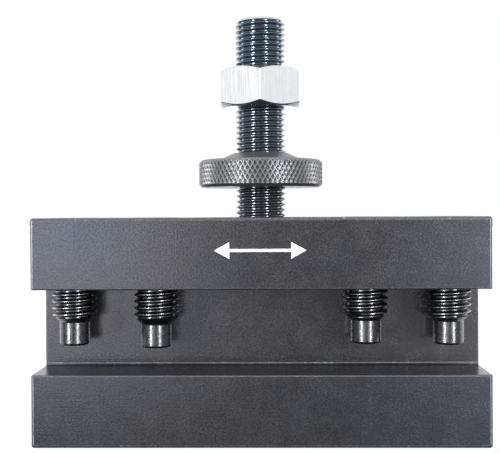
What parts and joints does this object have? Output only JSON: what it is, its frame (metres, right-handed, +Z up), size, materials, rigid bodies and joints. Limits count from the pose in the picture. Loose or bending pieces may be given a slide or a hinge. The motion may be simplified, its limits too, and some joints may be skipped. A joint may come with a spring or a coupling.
{
  "type": "quick-change tool holder",
  "caption": "Steel block with a side slot for lathe tools under clamp screws, a rear dovetail recess, and a threaded stud with a knurled height wheel and a hex lock nut.",
  "frame": {"origin": "middle of the bottom of the block, which is the bottom centre of the whole part's box", "axes": "+X along the tool slot, -Y out of the open side of the slot, +Y out of the dovetail recess, +Z up along the height stud"},
  "size_m": [0.12, 0.047, 0.1159],
  "materials": {
    "black_oxide_block": "satin black oxide on milled and ground steel",
    "black_oxide_stud": "oiled black oxide on a rolled thread",
    "knurled_steel": "worn black oxide over a diamond knurl",
    "zinc_plated": "bright zinc plating",
    "oiled_screw": "smooth oiled black steel, bare on the thread's crests"
  },
  "bodies": {
    "holder": {"holder_body": "black_oxide_block", "height_stud": "black_oxide_stud"},
    "wheel": {"height_wheel": "knurled_steel"},
    "nut": {"lock_nut": "zinc_plated"},
    "screw_1": {"set_screw_1": "oiled_screw"},
    "screw_2": {"set_screw_2": "oiled_screw"},
    "screw_3": {"set_screw_3": "oiled_screw"},
    "screw_4": {"set_screw_4": "oiled_screw"}
  },
  "joints": [
    {"name": "wheel_height", "type": "slide", "parent": "holder", "child": "wheel", "axis": [0, 0, 1], "range_m": [-0.0083, 0.0123]},
    {"name": "nut_lock", "type": "slide", "parent": "wheel", "child": "nut", "axis": [0, 0, 1], "range_m": [-0.0126, 0.0018]},
    {"name": "screw_1_clamp", "type": "slide", "parent": "holder", "child": "screw_1", "axis": [0, 0, 1], "range_m": [-0.0069, 0.0151]},
    {"name": "screw_2_clamp", "type": "slide", "parent": "holder", "child": "screw_2", "axis": [0, 0, 1], "range_m": [-0.0062, 0.0158]},
    {"name": "screw_3_clamp", "type": "slide", "parent": "holder", "child": "screw_3", "axis": [0, 0, 1], "range_m": [-0.0072, 0.0148]},
    {"name": "screw_4_clamp", "type": "slide", "parent": "holder", "child": "screw_4", "axis": [0, 0, 1], "range_m": [-0.0069, 0.0151]}
  ]
}
